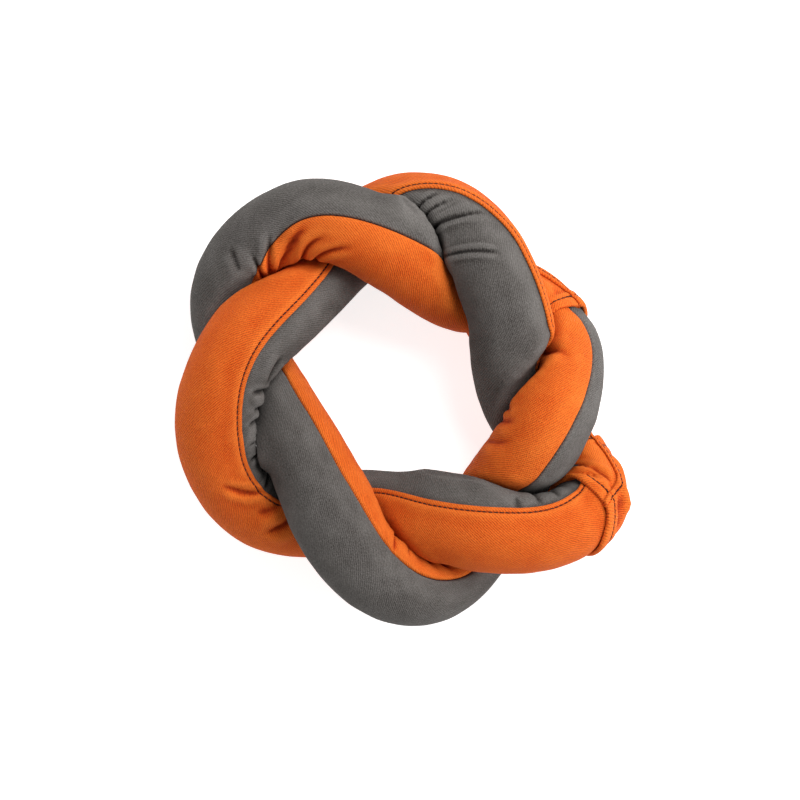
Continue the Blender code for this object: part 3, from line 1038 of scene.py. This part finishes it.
def shaped_rings():
    """Both rings, worked out the first time that they are asked for."""
    if not RINGS:
        first, second = Route(RING_1_ROUTE, END_SEAMS["ring_1"]), Route(RING_2_ROUTE, END_SEAMS["ring_2"])
        RINGS["ring_1"] = BumperRing("ring_1", first, second, "grey", ("plain", "lapped"))
        RINGS["ring_2"] = BumperRing("ring_2", second, first, "orange", ("lapped", "plain"))
    return RINGS.values()


# ---------------------------------------------------------------- materials


def feed(tree, node, inputs):
    """Sets a node's inputs to values, or links them to other nodes' outputs."""
    for name, value in inputs.items():
        if isinstance(value, bpy.types.NodeSocket):
            tree.links.new(value, node.inputs[name])
        else:
            node.inputs[name].default_value = value


def add_node(tree, kind, inputs=None, **settings):
    """A shader node with its settings and its inputs."""
    node = tree.nodes.new(kind)
    for name, value in settings.items():
        setattr(node, name, value)
    feed(tree, node, inputs or {})
    return node


def maths(tree, operation, first, second=0.0):
    return add_node(tree, "ShaderNodeMath", {0: first, 1: second}, operation=operation).outputs[0]


def span(tree, value, low, high, new_low=0.0, new_high=1.0):
    """A value's share of the way from low to high, kept between new_low and new_high."""
    inputs = {"Value": value, "From Min": low, "From Max": high, "To Min": new_low, "To Max": new_high}
    return add_node(tree, "ShaderNodeMapRange", inputs, clamp=True).outputs["Result"]


def blend_colours(tree, share, first, second, blend_type="MIX"):
    inputs = {0: share, 6: first, 7: second}
    return add_node(tree, "ShaderNodeMix", inputs, data_type="RGBA", blend_type=blend_type).outputs[2]


def noise(tree, place, scale, detail=3.0, roughness=0.55):
    inputs = {"Vector": place, "Scale": scale, "Detail": detail, "Roughness": roughness}
    return add_node(tree, "ShaderNodeTexNoise", inputs).outputs["Fac"]


def bump(tree, height, strength, distance):
    """A bump's normal, from a height between 0 and 1 and the distance in millimetres that it stands for."""
    inputs = {"Height": height, "Strength": strength, "Distance": distance * METRES}
    return add_node(tree, "ShaderNodeBump", inputs).outputs["Normal"]


def new_group(name, inputs, outputs):
    """An empty shader node group; inputs are (name, kind, default) and outputs are (name, kind)."""
    tree = bpy.data.node_groups.new(name, "ShaderNodeTree")
    for socket, kind, default in inputs:
        made = tree.interface.new_socket(socket, in_out="INPUT", socket_type=kind)
        if default is not None:
            made.default_value = default
    for socket, kind in outputs:
        tree.interface.new_socket(socket, in_out="OUTPUT", socket_type=kind)
    return tree, tree.nodes.new("NodeGroupInput").outputs, tree.nodes.new("NodeGroupOutput").inputs


def twill_group():
    """Twill weave: slanting ribs crossed by finer threads, in millimetres on the flat cloth."""
    inputs = (("Place", "NodeSocketVector", None), ("Pitch", "NodeSocketFloat", 1.0))
    outputs = (("Height", "NodeSocketFloat"), ("Gaps", "NodeSocketFloat"))
    tree, given, result = new_group("Twill weave", inputs, outputs)
    place = given["Place"]
    wander = add_node(tree, "ShaderNodeTexNoise", {"Vector": place, "Scale": 0.35, "Detail": 2.0})
    shift = {0: wander.outputs["Color"], 1: (0.9, 0.9, 0.0)}
    shift = add_node(tree, "ShaderNodeVectorMath", shift, operation="MULTIPLY").outputs[0]
    moved = add_node(tree, "ShaderNodeVectorMath", {0: place, 1: shift}, operation="ADD").outputs[0]
    parts = add_node(tree, "ShaderNodeSeparateXYZ", {"Vector": moved}).outputs
    slanted = maths(tree, "ADD", parts["X"], parts["Y"])
    ribs = maths(tree, "MULTIPLY", maths(tree, "DIVIDE", slanted, given["Pitch"]), math.pi)
    ribs = maths(tree, "ABSOLUTE", maths(tree, "SINE", ribs))
    crossed = maths(tree, "SUBTRACT", parts["X"], maths(tree, "MULTIPLY", parts["Y"], 0.6))
    threads = maths(tree, "MULTIPLY", maths(tree, "DIVIDE", crossed, given["Pitch"]), 1.6 * math.pi)
    threads = maths(tree, "ABSOLUTE", maths(tree, "SINE", threads))
    woven = maths(tree, "ADD", maths(tree, "MULTIPLY", ribs, 0.68), maths(tree, "MULTIPLY", threads, 0.32))
    grain = noise(tree, place, 1.6, 2.0)
    height = maths(tree, "ADD", woven, maths(tree, "MULTIPLY", grain, 0.5))
    tree.links.new(height, result["Height"])
    tree.links.new(span(tree, woven, 0.3, 0.72, 1.0, 0.0), result["Gaps"])
    return tree


def canvas_wear_and_shade_group():
    """Handled canvas: a worn, fuzzy nap that is paler on each ridge, partly as a painted highlight; painted
    shade that darkens the folds; and slow random changes of tone.
    """
    inputs = (
        ("Place", "NodeSocketVector", None), ("Canvas", "NodeSocketColor", None),
        ("Fuzz", "NodeSocketColor", None), ("Gaps and painted shade", "NodeSocketColor", None),
        ("Gaps", "NodeSocketFloat", 0.0), ("Bloom and highlight", "NodeSocketFloat", 0.4),
    )
    outputs = (("Colour", "NodeSocketColor"), ("Rough", "NodeSocketFloat"), ("Nap", "NodeSocketFloat"))
    tree, given, result = new_group("Canvas wear and painted shade", inputs, outputs)
    parts = add_node(tree, "ShaderNodeSeparateXYZ", {"Vector": given["Place"]}).outputs
    flat = add_node(tree, "ShaderNodeCombineXYZ", {"X": parts["X"], "Y": parts["Y"]}).outputs[0]
    patches = span(tree, noise(tree, flat, 0.05, 4.0), 0.35, 0.7)
    specks = span(tree, noise(tree, flat, 1.1, 4.0, 0.7), 0.42, 0.75)
    # painted highlight as well as worn nap: the fuzz is mixed in more strongly on ridges
    ridges = span(tree, parts["Z"], 0.05, -0.5)
    # painted shade: the colour is darkened in folds, where shade falls
    folds = span(tree, parts["Z"], 0.06, 0.7)
    colour = blend_colours(tree, given["Gaps"], given["Canvas"], given["Gaps and painted shade"])
    bloom_and_highlight = maths(tree, "ADD", maths(tree, "MULTIPLY", specks, 0.8), maths(tree, "MULTIPLY", patches, 0.3))
    bloom_and_highlight = maths(tree, "ADD", bloom_and_highlight, maths(tree, "MULTIPLY", ridges, 0.6))
    bloom_and_highlight = maths(tree, "MULTIPLY", bloom_and_highlight, given["Bloom and highlight"])
    colour = blend_colours(tree, bloom_and_highlight, colour, given["Fuzz"])
    colour = blend_colours(tree, maths(tree, "MULTIPLY", folds, 0.75), colour, given["Gaps and painted shade"])
    tree.links.new(colour, result["Colour"])
    tree.links.new(span(tree, specks, 0.0, 1.0, 0.82, 0.98), result["Rough"])
    tree.links.new(specks, result["Nap"])
    return tree


def group_node(tree, name, maker, inputs):
    """The outputs of a shader node group, which is made the first time that it is asked for."""
    group = bpy.data.node_groups.get(name) or maker()
    return add_node(tree, "ShaderNodeGroup", inputs, node_tree=group).outputs


def new_material(name, colour):
    """A new material's node tree and shader; colour is what a plain view shows of it."""
    material = bpy.data.materials.new(f"{name}_finish")
    material.use_nodes = True
    material.diffuse_color = (*colour, 1)
    tree = material.node_tree
    return tree, tree.nodes["Principled BSDF"]


def canvas_material(name, colour, fuzz, folds, bloom_and_highlight, sheen):
    """Twill canvas in one colour, with its weave, nap and worn fuzz, painted shade in its creases and a
    painted highlight on its ridges; the third colour is that of the weave's gaps and of the painted shade.
    """
    sizes = canvas_settings()
    tree, shader = new_material(name, colour)
    place = add_node(tree, "ShaderNodeAttribute", attribute_name="weave_place").outputs["Vector"]
    twill = group_node(tree, "Twill weave", twill_group, {"Place": place, "Pitch": sizes.weave_pitch})
    wear_and_shade = group_node(
        tree, "Canvas wear and painted shade", canvas_wear_and_shade_group,
        {
            "Place": place, "Canvas": (*colour, 1), "Fuzz": (*fuzz, 1), "Gaps and painted shade": (*folds, 1),
            "Gaps": twill["Gaps"], "Bloom and highlight": bloom_and_highlight,
        },
    )
    height = maths(tree, "ADD", twill["Height"], maths(tree, "MULTIPLY", wear_and_shade["Nap"], 0.4))
    feed(tree, shader, {
        "Base Color": wear_and_shade["Colour"], "Roughness": wear_and_shade["Rough"],
        "Normal": bump(tree, height, 1.0, sizes.weave_depth), "Specular IOR Level": 0.15,
        "Sheen Weight": sheen, "Sheen Roughness": 0.5, "Sheen Tint": (*fuzz, 1),
    })


def thread_material():
    """Twisted sewing thread: fine slanting strands whose crests are painted lighter as a highlight."""
    colour = tuple(canvas_settings().thread)
    tree, shader = new_material("dark_thread", colour)
    place = add_node(tree, "ShaderNodeAttribute", attribute_name="weave_place").outputs["Vector"]
    parts = add_node(tree, "ShaderNodeSeparateXYZ", {"Vector": place}).outputs
    twist = maths(tree, "SINE", maths(tree, "MULTIPLY", maths(tree, "ADD", parts["X"], parts["Y"]), 14.0))
    strands = span(tree, twist, -1.0, 1.0)
    # painted highlight: the strands' crests are coloured lighter
    light = tuple(2.2 * part + 0.004 for part in colour)
    shade = blend_colours(tree, strands, (*colour, 1), (*light, 1))
    feed(tree, shader, {
        "Base Color": shade, "Roughness": span(tree, strands, 0.0, 1.0, 0.6, 0.78),
        "Normal": bump(tree, strands, 0.6, 0.1), "Specular IOR Level": 0.1,
    })


def stuffing_material():
    """Off-white polyester wadding, clumped and fibrous."""
    tree, shader = new_material("stuffing", (0.8, 0.78, 0.74))
    place = add_node(tree, "ShaderNodeTexCoord").outputs["Object"]
    fibres = noise(tree, place, 700.0, 6.0, 0.7)
    clumps = noise(tree, place, 90.0, 3.0)
    clumps = span(tree, clumps, 0.35, 0.65)
    shade = blend_colours(tree, clumps, (0.62, 0.6, 0.55, 1), (0.84, 0.82, 0.78, 1))
    feed(tree, shader, {
        "Base Color": shade, "Roughness": span(tree, fibres, 0.3, 0.7, 0.88, 1.0),
        "Normal": bump(tree, fibres, 0.8, 0.6),
    })


def make_finishes():
    """The finishes of all pieces, made the first time that they are asked for."""
    if "dark_thread_finish" in bpy.data.materials:
        return
    sizes = canvas_settings()
    orange, grey = tuple(sizes.orange), tuple(sizes.grey)
    # the third colour of each canvas is for its weave's gaps and for the painted shade in its creases
    for name in ("orange_canvas", "sleeve_canvas"):
        canvas_material(name, orange, (0.92, 0.24, 0.035), (0.27, 0.016, 0.001), bloom_and_highlight=0.5, sheen=0.02)
    canvas_material("grey_canvas", grey, (0.22, 0.205, 0.193), (0.012, 0.01, 0.009), bloom_and_highlight=0.55, sheen=0.05)
    thread_material()
    stuffing_material()


# ---------------------------------------------------------------- the stage


FLOOR_HALF = 6.0
FLOOR_DROP = 0.0004
FLOOR_GLOW = 0.75
SKY_GLOW = 0.45
AIM = (0, 0, 0.03)
VIEW_SHIFT = -0.56
VIEW_LEVEL = 0.036
CLIP_END = 50

# Each lamp's name, place and width in metres, and its share of the main lamp's power
LAMPS = (
    ("key_lamp", (0.6, 0.8, 1.35), 0.9, 1),
    ("right_lamp", (1.3, -0.15, 0.75), 0.7, 0.5),
    ("left_lamp", (-1.4, 0.2, 0.7), 0.7, 0.12),
)


def floor_material(colour):
    """A light, faintly uneven floor that glows a little, so that it looks white."""
    tree, shader = new_material("stage_floor", colour)
    place = add_node(tree, "ShaderNodeTexCoord").outputs["Object"]
    shade = span(tree, noise(tree, place, 2.0, 2.0), 0.3, 0.7, 0.985, 1.0)
    tint = {"Red": shade, "Green": shade, "Blue": shade}
    tint = add_node(tree, "ShaderNodeCombineColor", tint).outputs["Color"]
    feed(tree, shader, {
        "Base Color": blend_colours(tree, 1.0, tint, (*colour, 1), "MULTIPLY"), "Roughness": 1.0,
        "Specular IOR Level": 0.0, "Emission Color": (1, 1, 1, 1), "Emission Strength": FLOOR_GLOW,
    })
    return bpy.data.materials["stage_floor_finish"]


def add_lamp(name, place, size, power):
    lamp = bpy.data.lights.new(name, "AREA")
    lamp.shape = "DISK"
    lamp.size = size
    lamp.energy = power
    holder = bpy.data.objects.new(name, lamp)
    holder.location = place
    towards = mathutils.Vector(AIM) - mathutils.Vector(place)
    holder.rotation_euler = towards.to_track_quat("-Z", "Y").to_euler()
    bpy.context.scene.collection.objects.link(holder)


def make_stage():
    sizes = bpy.context.scene.bumper_stage
    corners = [(x * FLOOR_HALF, y * FLOOR_HALF, 0) for x, y in ((-1, -1), (1, -1), (1, 1), (-1, 1))]
    mesh = bpy.data.meshes.new("stage_floor")
    mesh.from_pydata(corners, [], [(0, 1, 2, 3)])
    mesh.materials.append(floor_material(tuple(sizes.floor)))
    floor = bpy.data.objects.new("stage_floor", mesh)
    floor.location.z = -FLOOR_DROP
    bpy.context.scene.collection.objects.link(floor)

    world = bpy.data.worlds.new("studio")
    bpy.context.scene.world = world
    world.use_nodes = True
    sky = {"Color": (1, 1, 1, 1), "Strength": SKY_GLOW}
    feed(world.node_tree, world.node_tree.nodes["Background"], sky)
    for name, place, size, share in LAMPS:
        add_lamp(name, place, size, share * sizes.lamp_power)

    camera = bpy.data.cameras.new("camera")
    holder = bpy.data.objects.new("camera", camera)
    height = sizes.camera_height * METRES
    holder.location = (VIEW_SHIFT * METRES - MIDDLE[0] * METRES, -MIDDLE[1] * METRES, height + VIEW_LEVEL)
    camera.lens = camera.sensor_width * sizes.camera_height / sizes.view_width
    camera.clip_end = CLIP_END
    bpy.context.scene.collection.objects.link(holder)
    bpy.context.scene.camera = holder
    bpy.context.scene.view_settings.view_transform = "Standard"


# ---------------------------------------------------------------- the add-on


class BUMPER_OT_stuffing(bpy.types.Operator):
    """Make the stuffing inside both rings"""

    bl_idname = "bumper.stuffing"
    bl_label = "Stuffing"

    def execute(self, context):
        make_finishes()
        for ring in shaped_rings():
            ring.stuffing()
        return {"FINISHED"}


class BUMPER_OT_canvas_panels(bpy.types.Operator):
    """Make the orange and the grey panel of both rings"""

    bl_idname = "bumper.canvas_panels"
    bl_label = "Canvas panels"

    def execute(self, context):
        make_finishes()
        for ring in shaped_rings():
            ring.panels()
        return {"FINISHED"}


class BUMPER_OT_seam_stitches(bpy.types.Operator):
    """Make the stitches of the long seams"""

    bl_idname = "bumper.seam_stitches"
    bl_label = "Seam stitches"

    def execute(self, context):
        make_finishes()
        for ring in shaped_rings():
            ring.long_seams()
        return {"FINISHED"}


class BUMPER_OT_joining_sleeves(bpy.types.Operator):
    """Make the sleeve over each ring's ends"""

    bl_idname = "bumper.joining_sleeves"
    bl_label = "Joining sleeves"

    def execute(self, context):
        make_finishes()
        for ring in shaped_rings():
            JoiningSleeve(ring).canvas()
        return {"FINISHED"}


class BUMPER_OT_sleeve_stitches(bpy.types.Operator):
    """Make the stitches of each sleeve's hems and seam"""

    bl_idname = "bumper.sleeve_stitches"
    bl_label = "Sleeve stitches"

    def execute(self, context):
        make_finishes()
        for ring in shaped_rings():
            sleeve = JoiningSleeve(ring)
            sleeve.seam_stitches()
            sleeve.hem_stitches("start")
            sleeve.hem_stitches("end")
        return {"FINISHED"}


class BUMPER_OT_stage(bpy.types.Operator):
    """Make the floor, the lamps and the camera"""

    bl_idname = "bumper.stage"
    bl_label = "Stage"

    def execute(self, context):
        make_stage()
        return {"FINISHED"}


PIECE_OPERATORS = (
    BUMPER_OT_stuffing,
    BUMPER_OT_canvas_panels,
    BUMPER_OT_seam_stitches,
    BUMPER_OT_joining_sleeves,
    BUMPER_OT_sleeve_stitches,
    BUMPER_OT_stage,
)
SETTINGS = {
    "bumper_tube": TubeSettings,
    "bumper_sewing": SewingSettings,
    "bumper_canvas": CanvasSettings,
    "bumper_stage": StageSettings,
}


class BUMPER_PT_sidebar(bpy.types.Panel):
    """Sizes and colours of the bumper, and a button for each group of pieces"""

    bl_idname = "BUMPER_PT_sidebar"
    bl_label = "Training bumper"
    bl_space_type = "VIEW_3D"
    bl_region_type = "UI"
    bl_category = "Bumper"

    def draw(self, context):
        for name, settings in SETTINGS.items():
            box = self.layout.box()
            for field in settings.__annotations__:
                box.prop(getattr(context.scene, name), field)
        for operator in PIECE_OPERATORS:
            self.layout.operator(operator.bl_idname)


def register():
    for made in (*SETTINGS.values(), *PIECE_OPERATORS, BUMPER_PT_sidebar):
        bpy.utils.register_class(made)
    for name, settings in SETTINGS.items():
        setattr(bpy.types.Scene, name, PointerProperty(type=settings))


def unregister():
    for name in SETTINGS:
        delattr(bpy.types.Scene, name)
    for made in (BUMPER_PT_sidebar, *PIECE_OPERATORS[::-1], *SETTINGS.values()):
        bpy.utils.unregister_class(made)


def main():
    register()
    bpy.ops.bumper.stuffing()
    bpy.ops.bumper.canvas_panels()
    bpy.ops.bumper.seam_stitches()
    bpy.ops.bumper.joining_sleeves()
    bpy.ops.bumper.sleeve_stitches()
    bpy.ops.bumper.stage()


if __name__ == "__main__":
    main()
